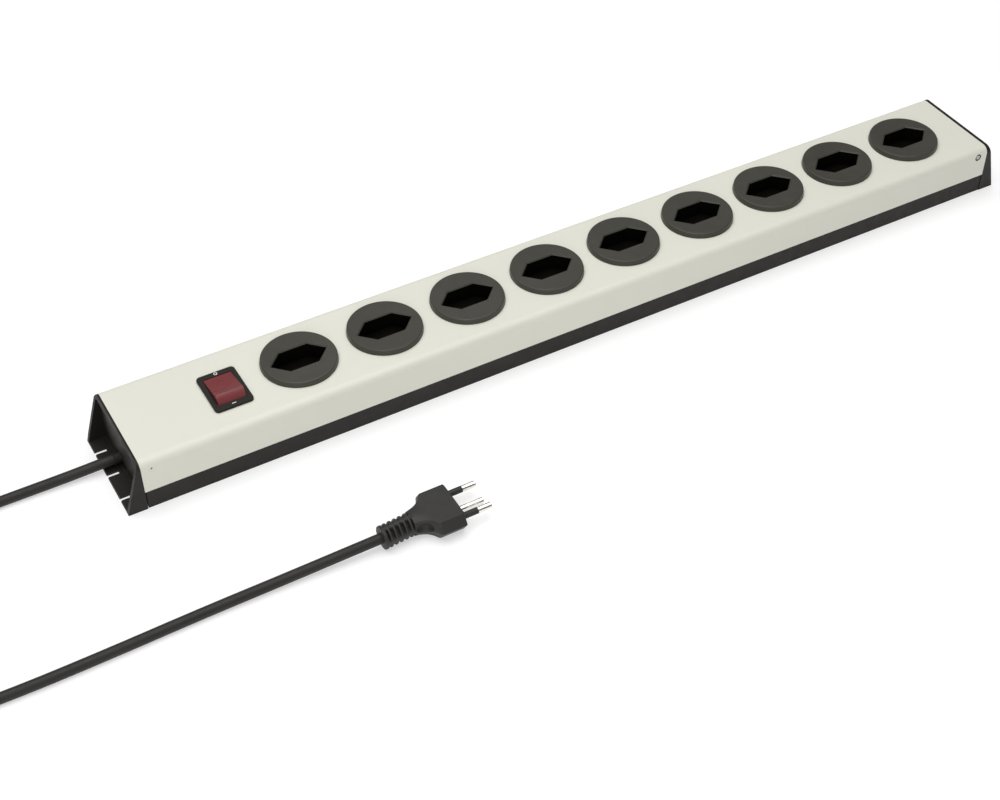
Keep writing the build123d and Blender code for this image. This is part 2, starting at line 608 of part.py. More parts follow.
PLUG_NECK = [(-173.3, 17.5, 13.4, 7.75), (-173.8, 16.2, 12.4, 7.74), (-174.6, 14.2, 11.0, 7.70),
             (-175.8, 12.2, 9.5, 7.60), (-177.5, 10.6, 8.3, 7.50), (-180.0, 9.2, 7.2, 7.30),
             (-183.0, 8.1, 6.4, 7.05), (-186.0, 7.4, 5.9, 6.90)]
with BuildPart() as plug_body:
    with BuildSketch(plug_plane(-173.3)):
        with BuildLine():
            Polyline(*hexagon(17.5, 13.4, PLUG_Z), close=True)
        make_face()
    extrude(amount=16.1)
    chamfer(plug_body.faces().sort_by(Axis.X)[-1].edges(), 0.5)
    # shoulders that sweep in to the neck
    for x, tip, flat, half_height in PLUG_NECK:
        with BuildSketch(plug_plane(x)):
            with BuildLine():
                Polyline(*hexagon(tip, flat, half_height), close=True)
            make_face()
    loft(ruled=True)
    # ribbed strain relief
    with Locations((-194.4, PLUG_Y, PLUG_Z)):
        Cylinder(4.3, 19.2, rotation=(0, 90, 0))
    for k in range(6):
        thick = 2.2 if k == 5 else 1.65
        centre = -186.8 - 3.3 * k if k < 5 else -204 + 1.1
        with Locations((centre, PLUG_Y, PLUG_Z)):
            Cylinder(7.1, thick, rotation=(0, 90, 0))
    # four ribs along the relief: top, bottom, front and back
    with Locations((-194.4, PLUG_Y, PLUG_Z)):
        Box(19.2, 3.6, 13.2)
        Box(19.2, 13.2, 3.6)
    # pocket for the pin bridge, and the pin tails behind it
    with BuildSketch(plug_plane(PLUG_FACE - 4.0)):
        with BuildLine():
            Polyline(*hexagon(15.2, 11.6, 6.1), close=True)
        make_face()
    extrude(amount=5, mode=Mode.SUBTRACT)
    with Locations((-165.2, PLUG_Y - PIN_OFF, PLUG_Z), (-165.2, PLUG_Y + PIN_OFF, PLUG_Z)):
        Cylinder(PIN_TAIL_R, 8.2, rotation=(0, 90, 0), mode=Mode.SUBTRACT)
    with Locations((-163.0, PLUG_Y, PLUG_Z - EARTH_OFF)):
        Cylinder(PIN_TAIL_R, 12.6, rotation=(0, 90, 0), mode=Mode.SUBTRACT)
save(plug_body, "plug_body")

with BuildPart() as plug_bridge:
    with BuildSketch(plug_plane(PLUG_FACE - 4.0)):
        with BuildLine():
            Polyline(*hexagon(15.1, 11.5, 6.0), close=True)
        make_face()
        with Locations((-PIN_OFF, 0), (PIN_OFF, 0), (0, -EARTH_OFF)):
            Circle(PIN_TAIL_R, mode=Mode.SUBTRACT)
    extrude(amount=4.0)
save(plug_bridge, "plug_bridge")

SLEEVE = 9.9
for name, y in (("line", PLUG_Y - PIN_OFF), ("neutral", PLUG_Y + PIN_OFF)):
    with BuildPart() as pin:
        with Locations(((-169.2 + PLUG_FACE + PIN_LEN) / 2, y, PLUG_Z)):
            Cylinder(PIN_TAIL_R, PLUG_FACE + PIN_LEN + 169.2, rotation=(0, 90, 0))
        with Locations((PLUG_FACE + (SLEEVE + PIN_LEN) / 2, y, PLUG_Z)):
            Cylinder(PIN_R, PIN_LEN - SLEEVE, rotation=(0, 90, 0))
        chamfer(pin.edges().filter_by(GeomType.CIRCLE).sort_by(Axis.X)[-1], 0.7)
    save(pin, "plug_pin_" + name)
    with BuildPart() as sleeve:
        with Locations((PLUG_FACE + SLEEVE / 2, y, PLUG_Z)):
            Cylinder(PIN_R, SLEEVE, rotation=(0, 90, 0))
            Cylinder(PIN_TAIL_R, SLEEVE + 2, rotation=(0, 90, 0), mode=Mode.SUBTRACT)
    save(sleeve, "pin_sleeve_" + name)

with BuildPart() as earth_pin:
    with Locations(((-169.2 + PLUG_FACE) / 2, PLUG_Y, PLUG_Z - EARTH_OFF)):
        Cylinder(PIN_TAIL_R, PLUG_FACE + 169.2, rotation=(0, 90, 0))
    with Locations((PLUG_FACE + PIN_LEN / 2, PLUG_Y, PLUG_Z - EARTH_OFF)):
        Cylinder(PIN_R, PIN_LEN, rotation=(0, 90, 0))
    chamfer(earth_pin.edges().filter_by(GeomType.CIRCLE).sort_by(Axis.X)[-1], 0.7)
save(earth_pin, "plug_pin_earth")

# ---------------------------------------------------------------- length of the whole lead
# the coil: two turns inwards on the desk, a quarter turn up, two turns outwards on top
steps = 4250
last = None
coil_length = 0.0
for i in range(steps + 1):
    t = 4.25 * i / steps
    if t < 2:
        r, z = COIL_R_OUT - (COIL_R_OUT - COIL_R_IN) * t / 2, 3.3
    elif t < 2.25:
        r, z = COIL_R_IN, 3.3 + 6.45 * (t - 2) / 0.25
    else:
        r, z = COIL_R_IN + (COIL_R_OUT - COIL_R_IN) * (t - 2.25) / 2, 9.75
    a = pi / 2 + 2 * pi * t
    p = (COIL_X + r * cos(a), COIL_Y + r * sin(a), z)
    if last:
        coil_length += sqrt(sum((u - w) ** 2 for u, w in zip(p, last)))
    last = p
print("coil turns %.1f, whole lead about %.1f" % (coil_length, total + coil_length + 9 + 6))

for node, volume, solids in made:
    print("%-22s %12.1f mm3 %d solids" % (node, volume, solids))
print(len(made), "nodes")
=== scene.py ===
import bpy, bmesh, math
from mathutils import Vector, Matrix, Euler


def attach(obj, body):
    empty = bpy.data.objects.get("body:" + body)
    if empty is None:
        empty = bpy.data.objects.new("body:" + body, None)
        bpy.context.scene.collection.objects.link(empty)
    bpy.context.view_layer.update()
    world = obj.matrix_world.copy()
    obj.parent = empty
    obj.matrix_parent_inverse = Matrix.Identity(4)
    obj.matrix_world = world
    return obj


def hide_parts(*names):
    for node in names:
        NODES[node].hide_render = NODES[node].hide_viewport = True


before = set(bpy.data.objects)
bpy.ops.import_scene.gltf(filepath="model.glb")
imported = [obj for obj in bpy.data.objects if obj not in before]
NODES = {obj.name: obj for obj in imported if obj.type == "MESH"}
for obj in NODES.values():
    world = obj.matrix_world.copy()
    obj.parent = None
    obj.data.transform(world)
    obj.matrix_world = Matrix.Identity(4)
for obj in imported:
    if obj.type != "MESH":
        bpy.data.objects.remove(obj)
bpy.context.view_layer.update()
scene = bpy.context.scene
MM = 0.001

# ------------------------------------------------------------------ camera
cam_data = bpy.data.cameras.new("camera")
cam = bpy.data.objects.new("camera", cam_data)
scene.collection.objects.link(cam)
scene.camera = cam
cam_data.sensor_width = 36.0
cam_data.lens = 61.525
cam_data.clip_start = 0.01
cam_data.clip_end = 20.0
right = Vector((0.87088369, -0.49148785, -0.00113195))
down = Vector((-0.34009775, -0.60096467, -0.72330836))
ahead = Vector((0.35481701, 0.63030243, -0.69052425))
m = Matrix.Identity(4)
for r in range(3):
    m[r][0], m[r][1], m[r][2] = right[r], -down[r], -ahead[r]
m[0][3], m[1][3], m[2][3] = -0.458136, -0.713318, 0.720608
cam.matrix_world = m

# ------------------------------------------------------------------ lead
R_OUT, R_IN = 44.2, 31.4
COIL = (-450.0, 8.8 - R_OUT)
RUN_OUT = [(-312.0, 6.6, 6.1), (-332, 7.3, 4.8), (-361, 8.7, 3.4), (-403, 9.1, 3.3), (-441, 8.8, 3.3)]
RUN_PLUG = [(-490, -91, 4.0), (-475.5, -112.4, 3.3), (-451, -123.8, 3.3), (-416, -125.9, 3.3),
            (-368, -125.8, 3.3), (-311, -124.4, 3.3), (-258, -124.9, 4.2), (-222, -126.4, 6.6),
            (-203.6, -126.68, 7.15)]
PER_TURN = 16
GROW = 1.0 / ((1 + math.cos(math.pi / PER_TURN) ** 2 + 2 * math.cos(math.pi / PER_TURN)) / 4)


def coil_points():
    out = []
    steps = int(4.25 * PER_TURN)
    for i in range(1, steps + 1):
        t = i / PER_TURN
        if t < 2:
            r, z = R_OUT - (R_OUT - R_IN) * t / 2, 3.3
        elif t < 2.25:
            r, z = R_IN, 3.3 + 6.45 * (t - 2) / 0.25
        else:
            r, z = R_IN + (R_OUT - R_IN) * (t - 2.25) / 2, 9.75
        a = math.pi / 2 + 2 * math.pi * t
        under = math.cos(a + math.pi / 2)
        lift = 0.9 * max(0.0, under) ** 12 if z < 9 else 0.0
        out.append((COIL[0] + r * GROW * math.cos(a), COIL[1] + r * GROW * math.sin(a), z + lift))
    return out


path = RUN_OUT[:-1] + [(-430, 8.9, 3.3)] + coil_points() + [(COIL[0] - R_OUT - 0.2, COIL[1] - 14, 9.5), (-494.3, -64, 7.6)] + RUN_PLUG
curve = bpy.data.curves.new("lead", "CURVE")
curve.dimensions = "3D"
sp = curve.splines.new("NURBS")
sp.points.add(len(path) - 1)
for p, q in zip(sp.points, path):
    p.co = (q[0] * MM, q[1] * MM, q[2] * MM, 1.0)
    p.radius = MM
sp.order_u = 3
sp.use_endpoint_u = True
sp.resolution_u = 8
curve.bevel_depth = 3.2  # times the points' radius: 3.2 mm
curve.bevel_resolution = 7
curve.use_fill_caps = True
lead = bpy.data.objects.new("lead", curve)
scene.collection.objects.link(lead)
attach(lead, "strip")
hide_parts("cord_run_out", "cord_coil", "cord_run_plug")

# ------------------------------------------------------------------ mesh helpers
def link(name, me, mat, body="strip"):
    ob = bpy.data.objects.new(name, me)
    scene.collection.objects.link(ob)
    me.materials.clear()
    me.materials.append(mat)
    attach(ob, body)
    return ob


def apply_all(ob):
    """Bakes the modifiers into the mesh."""
    dg = bpy.context.evaluated_depsgraph_get()
    dg.update()
    ev = ob.evaluated_get(dg)
    me = bpy.data.meshes.new_from_object(ev, preserve_all_data_layers=True, depsgraph=dg)
    old = ob.data
    ob.modifiers.clear()
    ob.data = me
    bpy.data.meshes.remove(old)


def smooth_by_angle(me, degrees):
    me.polygons.foreach_set("use_smooth", [True] * len(me.polygons))
    me.set_sharp_from_angle(angle=math.radians(degrees))


def bevel(ob, width, segments=2, angle=30):
    b = ob.modifiers.new("bevel", "BEVEL")
    b.width = width
    b.segments = segments
    b.limit_method = "ANGLE"
    b.angle_limit = math.radians(angle)
    b.harden_normals = False
    b.miter_outer = "MITER_ARC"
    return b


def even_normals(ob):
    """Lets the large flat faces set the shading of the eased edges beside them."""
    w = ob.modifiers.new("even", "WEIGHTED_NORMAL")
    w.keep_sharp = True
    w.weight = 100
    apply_all(ob)


def prism(outline, lo, hi, axis="x"):
    """A closed straight prism, in millimetres: outline in the two other axes, from lo to hi along the axis."""
    bm = bmesh.new()
    put = {"x": lambda a, p: (a, p[0], p[1]), "y": lambda a, p: (p[0], a, p[1]), "z": lambda a, p: (p[0], p[1], a)}[axis]
    rows = [[bm.verts.new([v * MM for v in put(a, p)]) for p in outline] for a in (lo, hi)]
    n = len(outline)
    for i in range(n):
        j = (i + 1) % n
        bm.faces.new((rows[0][i], rows[0][j], rows[1][j], rows[1][i]))
    bm.faces.new(rows[0])
    bm.faces.new(rows[1])
    bmesh.ops.recalc_face_normals(bm, faces=bm.faces)
    return bm


def carve(ob, tools):
    """Takes closed shapes away from an object; the shapes are removed again afterwards."""
    for k, bm in enumerate(tools):
        me = bpy.data.meshes.new("tool")
        bm.to_mesh(me)
        bm.free()
        tool = bpy.data.objects.new("tool", me)
        scene.collection.objects.link(tool)
        m_ = ob.modifiers.new("cut", "BOOLEAN")
        m_.operation = "DIFFERENCE"
        m_.solver = "EXACT"
        m_.object = tool
        apply_all(ob)
        bpy.data.objects.remove(tool)
        bpy.data.meshes.remove(me)


def refined(node, name, mat, width=0.0003, segments=2, angle=30, body="strip", flat=1.0, shade=35,
            cuts=(), move=None, extra=()):
    """The node's own shape with its flat faces joined up, its edges eased and its curved faces shaded smooth."""
    src = NODES[node]
    me = src.data.copy()
    bm = bmesh.new()
    bm.from_mesh(me)
    bmesh.ops.remove_doubles(bm, verts=bm.verts, dist=2e-6)
    bmesh.ops.dissolve_limit(bm, angle_limit=math.radians(flat), verts=bm.verts, edges=bm.edges, use_dissolve_boundaries=False)
    bm.to_mesh(me)
    bm.free()
    me.name = name
    ob = link(name, me, mat, body)
    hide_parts(node)
    if move:
        for v in me.vertices:
            v.co = move(v.co)
    if cuts:
        carve(ob, cuts)
    if extra:
        bm = bmesh.new()
        bm.from_mesh(ob.data)
        for more in extra:
            t = bpy.data.meshes.new("t")
            more.to_mesh(t)
            more.free()
            bm.from_mesh(t)
            bpy.data.meshes.remove(t)
        bm.to_mesh(ob.data)
        bm.free()
    if width:
        bevel(ob, width, segments, angle)
        apply_all(ob)
    smooth_by_angle(ob.data, shade)
    even_normals(ob)
    return ob


def loft(rings, cap=True):
    """A closed skin through rings of points with the same count."""
    bm = bmesh.new()
    rows = [[bm.verts.new(p) for p in ring] for ring in rings]
    n = len(rows[0])
    for a, b in zip(rows, rows[1:]):
        for i in range(n):
            j = (i + 1) % n
            bm.faces.new((a[i], a[j], b[j], b[i]))
    if cap:
        bm.faces.new(list(reversed(rows[0])))
        bm.faces.new(rows[-1])
    bmesh.ops.recalc_face_normals(bm, faces=bm.faces)
    return bm

# ------------------------------------------------------------------ materials
def linear(c):
    c = c / 255.0
    return c / 12.92 if c <= 0.04045 else ((c + 0.055) / 1.055) ** 2.4


def rgb(r, g, b):
    return (linear(r), linear(g), linear(b), 1.0)


def material(name, colour, rough, metallic=0.0, grain=0.0, grain_scale=400.0, tint=0.06, tint_scale=30.0,
             rough_var=0.08, specular=0.5, coat=0.0, bump_distance=0.0002):
    """Plastic, paint or metal with uneven colour, uneven gloss and a fine grain in relief."""
    mat = bpy.data.materials.new(name)
    mat.use_nodes = True
    nt = mat.node_tree
    bsdf = nt.nodes["Principled BSDF"]
    bsdf.inputs["Metallic"].default_value = metallic
    bsdf.inputs["Specular IOR Level"].default_value = specular
    bsdf.inputs["Coat Weight"].default_value = coat
    co = nt.nodes.new("ShaderNodeTexCoord")
    cloud = nt.nodes.new("ShaderNodeTexNoise")
    cloud.inputs["Scale"].default_value = tint_scale
    cloud.inputs["Detail"].default_value = 6.0
    nt.links.new(co.outputs["Object"], cloud.inputs["Vector"])
    ramp = nt.nodes.new("ShaderNodeValToRGB")
    dark = [v * (1 - tint) for v in colour[:3]] + [1.0]
    light = [min(1.0, v * (1 + tint)) for v in colour[:3]] + [1.0]
    ramp.color_ramp.elements[0].position = 0.3
    ramp.color_ramp.elements[1].position = 0.7
    ramp.color_ramp.elements[0].color = dark
    ramp.color_ramp.elements[1].color = light
    nt.links.new(cloud.outputs["Fac"], ramp.inputs["Fac"])
    nt.links.new(ramp.outputs["Color"], bsdf.inputs["Base Color"])
    spread = nt.nodes.new("ShaderNodeMapRange")
    spread.inputs["From Min"].default_value = 0.3
    spread.inputs["From Max"].default_value = 0.7
    spread.inputs["To Min"].default_value = max(0.02, rough - rough_var)
    spread.inputs["To Max"].default_value = min(1.0, rough + rough_var)
    fine = nt.nodes.new("ShaderNodeTexNoise")
    fine.inputs["Scale"].default_value = tint_scale * 5
    fine.inputs["Detail"].default_value = 4.0
    nt.links.new(co.outputs["Object"], fine.inputs["Vector"])
    nt.links.new(fine.outputs["Fac"], spread.inputs["Value"])
    nt.links.new(spread.outputs["Result"], bsdf.inputs["Roughness"])
    if grain > 0:
        tex = nt.nodes.new("ShaderNodeTexNoise")
        tex.inputs["Scale"].default_value = grain_scale
        tex.inputs["Detail"].default_value = 2.0
        nt.links.new(co.outputs["Object"], tex.inputs["Vector"])
        bump = nt.nodes.new("ShaderNodeBump")
        bump.inputs["Strength"].default_value = grain
        bump.inputs["Distance"].default_value = bump_distance
        nt.links.new(tex.outputs["Fac"], bump.inputs["Height"])
        nt.links.new(bump.outputs["Normal"], bsdf.inputs["Normal"])
    return mat


paint = material("white_paint", rgb(221, 220, 208), 0.45, grain=0.25, grain_scale=1500, tint=0.012, tint_scale=12,
                 specular=0.35)
black = material("black_plastic", rgb(34, 32, 28), 0.5, grain=0.22, grain_scale=1800, tint=0.12, specular=0.22)
ring = material("outlet_plastic", rgb(61, 60, 53), 0.4, grain=0.2, grain_scale=1800, tint=0.08, specular=0.4)
# painted shade: a near-black, barely reflective copy of the outlet plastic that darkens the socket recesses
recess_painted_shade = material("recess_plastic_painted_shade", rgb(12, 11, 9), 0.4, grain=0.18, grain_scale=1800, tint=0.10, specular=0.03)
sheath = material("lead_sheath", rgb(40, 39, 37), 0.5, grain=0.22, grain_scale=1200, tint=0.08, specular=0.3)
soft_plug = material("plug_plastic", rgb(48, 47, 44), 0.5, grain=0.22, grain_scale=1500, tint=0.08, specular=0.3)
red = material("rocker_red", rgb(116, 50, 52), 0.3, grain=0.15, grain_scale=1800, tint=0.06, specular=0.5)
nickel = material("nickel", rgb(238, 236, 230), 0.2, metallic=1.0, grain=0.15, grain_scale=900, tint=0.05)
zinc = material("zinc", rgb(206, 206, 202), 0.35, metallic=1.0, grain=0.2, grain_scale=900, tint=0.06)
brass = material("brass_strip", rgb(205, 170, 100), 0.35, metallic=1.0, grain=0.2, grain_scale=700, tint=0.08)
copper = material("copper_alloy", rgb(200, 140, 100), 0.35, metallic=1.0, grain=0.2, grain_scale=700, tint=0.08)
nylon = material("natural_nylon", rgb(205, 200, 182), 0.5, grain=0.3, grain_scale=900, tint=0.05)
brown = material("brown_insulation", rgb(100, 60, 35), 0.4, grain=0.2, grain_scale=900)
blue = material("blue_insulation", rgb(40, 90, 180), 0.4, grain=0.2, grain_scale=900)
green = material("green_insulation", rgb(90, 150, 50), 0.4, grain=0.2, grain_scale=900)
white_ink = material("white_ink", rgb(232, 230, 224), 0.6, grain=0.2, grain_scale=2000, tint=0.05)
strap = material("strap_fabric", rgb(35, 35, 36), 0.9, grain=0.8, grain_scale=1500, tint=0.15)

look = {"cover": paint, "base_tray": black, "end_cap_cord": black, "end_cap_far": black, "cover_screws": zinc,
        "contact_carrier": nylon, "busbar_line": brass, "busbar_neutral": brass, "busbar_earth": brass,
        "breaker_housing": black, "rocker": red, "plunger": nylon, "rocker_spring": zinc,
        "contact_seesaw": copper, "centre_terminal": brass, "fixed_contact": brass,
        "conductor_line": brown, "conductor_switched": brown, "conductor_neutral": blue,
        "conductor_earth": green, "conductor_bond": green, "earth_lug": zinc, "earth_nut": zinc,
        "cord_bush": black, "cord_clamp": black, "clamp_screws": zinc, "cord_tail": sheath,
        "coil_tie": strap, "plug_body": soft_plug, "plug_bridge": black, "plug_pin_line": nickel,
        "plug_pin_neutral": nickel, "plug_pin_earth": nickel, "pin_sleeve_line": soft_plug,
        "pin_sleeve_neutral": soft_plug}
for i in range(1, 10):
    look["socket_insert_%d" % i] = ring
for name, mat in look.items():
    ob = NODES[name]
    ob.data.materials.clear()
    ob.data.materials.append(mat)
lead.data.materials.append(sheath)

# ------------------------------------------------------------------ outside pieces with eased edges
def reach(low, x_new):
    """Carries one end of a long piece out to the far cap's seam."""
    return lambda co: Vector((x_new, co.y, co.z)) if co.x > low else co


def far_shape(co):
    """The far cap starts at its seam with the cover and leans a little more."""
    if abs(co.x - 0.30735) < 0.00012:
        return Vector((0.30848, co.y, co.z))
    if co.x > 0.3074:
        return Vector((co.x + 0.0010, co.y, co.z))
    return co


refined("cover", "cover_sheet", paint, width=0.00025, segments=2, move=reach(0.3072, 0.30842))
refined("base_tray", "tray", black, width=0.0004, segments=2, move=reach(0.3067, 0.3083))
# hood: thin rim at the top of the mouth, thin tongue with three open slots, and a plate across the housing's end
lean = prism([(-319.6, -0.3), (-308.55, 35.85), (-308.55, 40.0), (-330.0, 40.0), (-330.0, -0.3)], -40, 40, "y")
thin = prism([(-330.0, -32.3), (-309.6, -32.3), (-309.6, 32.3), (-330.0, 32.3)], 1.35, 2.6, "z")
slots = [prism([(-330.0, y - 1.3), (-312.0, y - 1.3), (-312.0, y + 1.3), (-330.0, y + 1.3)], -2.0, 4.0, "z")
         for y in (-21.2, 0.0, 21.2)]
ROUND = [(math.cos(math.pi * k / 20), math.sin(math.pi * k / 20)) for k in range(21)]
over = [(6.6 + 3.95 * c, 6.1 + 3.95 * q) for c, q in ROUND]
under = [(6.6 + 3.95 * c, 6.1 - 3.95 * q) for c, q in ROUND]
upper = prism([(32.5, 6.1), (32.5, 33.2), (-32.5, 33.2), (-32.5, 6.1)] + list(reversed(over)), -307.95, -307.36, "x")
lower = prism([(-32.5, 6.1), (-32.5, 1.4), (32.5, 1.4), (32.5, 6.1)] + under, -307.95, -307.36, "x")
refined("end_cap_cord", "hood", black, width=0.0002, segments=2, cuts=[lean, thin] + slots, extra=[upper, lower])
refined("end_cap_far", "far_cap", black, width=0.0004, segments=2, move=far_shape)
refined("breaker_housing", "switch_frame", black, width=0.0002, segments=2)
refined("rocker", "rocker_cap", red, width=0.0003, segments=2, body="rocker_body")


def slim(co):
    """Outside the end wall the bush is hardly thicker than the lead."""
    if co.x > -0.3075:
        return co
    y, z = co.y - 0.0066, co.z - 0.0061
    r = math.hypot(y, z)
    k = min(1.0, 0.0034 / r) if r > 0.0033 else 1.0
    return Vector((co.x, 0.0066 + y * k, 0.0061 + z * k))


refined("cord_bush", "bush", black, width=0, move=slim)
for i in range(1, 10):
    ob = refined("socket_insert_%d" % i, "outlet_%d" % i, ring, width=0.0002, segments=2)
    # painted shade: the recess faces take a near-black, barely reflective copy of the outlet plastic, so the recess
    # renders darker than the top of the ring
    ob.data.materials.append(recess_painted_shade)
    mid = -0.1936 + 0.057 * (i - 1)
    for face in ob.data.polygons:
        c = face.center
        if c.z < 0.0384 and abs(c.y) < 0.00905 and abs(c.x - mid) + abs(c.y) < 0.0182:
            face.material_index = 1


def capsule_disc(bm, x, radius, thick, edge, steps=48):
    """A round disc across X with eased rims, for the ribs of the strain relief."""
    h = thick / 2
    prof = [(-h, radius - edge), (-h + edge * 0.3, radius - edge * 0.3), (-h + edge, radius),
            (h - edge, radius), (h - edge * 0.3, radius - edge * 0.3), (h, radius - edge)]
    rows = []
    for dx, r in prof:
        rows.append([bm.verts.new((x + dx, PLUG[1] + r * math.cos(2 * math.pi * i / steps),
                                   PLUG[2] + r * math.sin(2 * math.pi * i / steps))) for i in range(steps)])
    for a_, b_ in zip(rows, rows[1:]):
        for i in range(steps):
            j = (i + 1) % steps
            bm.faces.new((a_[i], a_[j], b_[j], b_[i]))
    bm.faces.new(rows[0])
    bm.faces.new(rows[-1])


# ------------------------------------------------------------------ plug
PLUG = (-157.2, -125.5, 7.75)


def plug_ring(x, tip, flat, half_h, soft, n=72):
    """One cross-section of the plug's body: a hexagon that melts into an ellipse as soft goes to 1."""
    pts = []
    ang = math.degrees(math.atan2(half_h, flat))
    marks = [0, ang, 180 - ang, 180, 180 + ang, 360 - ang, 360]
    share = [7, 22, 7, 7, 22, 7]
    for k in range(6):
        for i in range(share[k]):
            th = math.radians(marks[k] + (marks[k + 1] - marks[k]) * i / share[k])
            c, s_ = math.cos(th), math.sin(th)
            r1 = half_h / abs(s_) if abs(s_) > 1e-9 else 1e9
            # slanted side from (tip, 0) to (flat, half_h)
            r2 = tip * half_h / (half_h * abs(c) + (tip - flat) * abs(s_))
            hexr = min(r1, r2)
            ell = 1.0 / math.sqrt((c / tip) ** 2 + (s_ / half_h) ** 2)
            r = hexr * (1 - soft) + ell * soft
            pts.append((x, PLUG[1] + r * c, PLUG[2] + r * s_))
    return pts


def bend(x):
    """The relief hangs a little down and to the front towards the lead."""
    t = max(0.0, (-183.0 - x) / 21.0)
    return -1.2 * t, -0.6 * t


def build_plug():
    sections = [(-157.2, 16.4, 12.3, 6.0, 0.0), (-157.75, 16.9, 12.8, 6.45, 0.0), (-165, 16.9, 12.8, 6.45, 0.0),
                (-172.6, 16.9, 12.8, 6.45, 0.0), (-173.5, 16.3, 12.4, 6.45, 0.02), (-174.1, 15.2, 11.6, 6.45, 0.05),
                (-174.9, 13.4, 10.4, 6.44, 0.10), (-176.0, 11.7, 9.2, 6.42, 0.18), (-177.4, 10.3, 8.1, 6.40, 0.28),
                (-179.0, 9.2, 7.3, 6.38, 0.40), (-180.8, 8.4, 6.8, 6.36, 0.52), (-182.8, 7.9, 6.4, 6.34, 0.64),
                (-185.2, 7.6, 6.2, 6.30, 0.75)]
    bm = loft([plug_ring(*q) for q in sections])
    # relief: core, rings and four ribs along it
    parts = [loft([plug_ring(x, 3.7, 2.9, 3.7, 1.0) for x in (-184, -190, -197, -203.5)])]
    for more in parts:
        me2 = bpy.data.meshes.new("t")
        more.to_mesh(me2)
        more.free()
        bm.from_mesh(me2)
        bpy.data.meshes.remove(me2)
    for k in range(6):
        thick = 2.2 if k == 5 else 1.5
        centre = -186.8 - 3.3 * k if k < 5 else -204 + 1.1
        capsule_disc(bm, centre, 7.1, thick, 0.4)
    for turn in range(4):
        rot = Matrix.Rotation(math.radians(90 * turn), 4, "X")
        prof = [(3.2, -1.35), (6.4, -1.35), (6.8, -1.0), (6.9, 0.0), (6.8, 1.0), (6.4, 1.35), (3.2, 1.35)]
        rows = []
        for x in (-184.5, -190.0, -197.0, -203.4):
            rows.append([bm.verts.new(Vector((x, PLUG[1], PLUG[2])) + rot @ Vector((0, b_, a_))) for a_, b_ in prof])
        n = len(prof)
        for low, high in zip(rows, rows[1:]):
            for i in range(n):
                j = (i + 1) % n
                bm.faces.new((low[i], low[j], high[j], high[i]))
        bm.faces.new(rows[0])
        bm.faces.new(rows[-1])
    bmesh.ops.recalc_face_normals(bm, faces=bm.faces)
    for v in bm.verts:
        dy, dz = bend(v.co.x)
        v.co.y += dy
        v.co.z += dz
    bmesh.ops.scale(bm, vec=(MM, MM, MM), verts=bm.verts)
    me = bpy.data.meshes.new("plug_moulding")
    bm.to_mesh(me)
    bm.free()
    ob = link("plug_moulding", me, soft_plug)
    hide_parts("plug_body")
    rm = ob.modifiers.new("skin", "REMESH")
    rm.mode = "VOXEL"
    rm.voxel_size = 0.00026
    apply_all(ob)
    # finger hollows in the neck, front and back
    hollows = []
    for s_ in (-1, 1):
        hb = bmesh.new()
        bmesh.ops.create_uvsphere(hb, u_segments=40, v_segments=24, radius=1.0)
        bmesh.ops.scale(hb, vec=(0.0052, 0.0048, 0.0035), verts=hb.verts)
        bmesh.ops.translate(hb, vec=(-0.1808, (PLUG[1] + s_ * 10.2) * MM, 0.0092), verts=hb.verts)
        hollows.append(hb)
    carve(ob, hollows)
    rm = ob.modifiers.new("skin", "REMESH")
    rm.mode = "VOXEL"
    rm.voxel_size = 0.00028
    sm = ob.modifiers.new("soften", "SMOOTH")
    sm.factor = 0.5
    sm.iterations = 4
    apply_all(ob)
    ob.data.polygons.foreach_set("use_smooth", [True] * len(ob.data.polygons))
    return ob


plug = build_plug()

# ------------------------------------------------------------------ cover screws with crossed heads
def build_screws():
    bm = bmesh.new()

    def solid(points_a, points_b):
        rows = [[bm.verts.new(p) for p in points_a], [bm.verts.new(p) for p in points_b]]
        n = len(points_a)
        for i in range(n):
            j = (i + 1) % n
            bm.faces.new((rows[0][i], rows[0][j], rows[1][j], rows[1][i]))
        bm.faces.new(rows[0])
        bm.faces.new(rows[1])

    for sx in (-1, 1):
        for sy in (-1, 1):
            cx, cz = sx * 301.0, 30.0
            head = 1.7
            if sx < 0:
                continue

            def circle(r, y, n=28):
                return [(cx + r * math.cos(2 * math.pi * i / n), sy * y, cz + r * math.sin(2 * math.pi * i / n))
                        for i in range(n)]
            solid(circle(1.25, 28.0), circle(1.25, 33.85))
            solid(circle(head, 33.8), circle(head, 34.35))
            # four raised quarters leave the cross between them
            for q in range(4):
                def quarter(r, y):
                    pts = [(0.2, 0.2)]
                    for k in range(9):
                        a = math.radians(8 + 74 * k / 8)
                        pts.append((r * math.cos(a), r * math.sin(a)))
                    t = math.radians(90 * q)
                    return [(cx + u * math.cos(t) - v * math.sin(t), sy * y, cz + u * math.sin(t) + v * math.cos(t))
                            for u, v in pts]
                solid(quarter(head, 34.3), quarter(head * 0.86, 34.85))
    bmesh.ops.recalc_face_normals(bm, faces=bm.faces)
    bmesh.ops.scale(bm, vec=(MM, MM, MM), verts=bm.verts)
    me = bpy.data.meshes.new("screws")
    bm.to_mesh(me)
    bm.free()
    ob = link("screws", me, zinc)
    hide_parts("cover_screws")
    smooth_by_angle(me, 30)


build_screws()


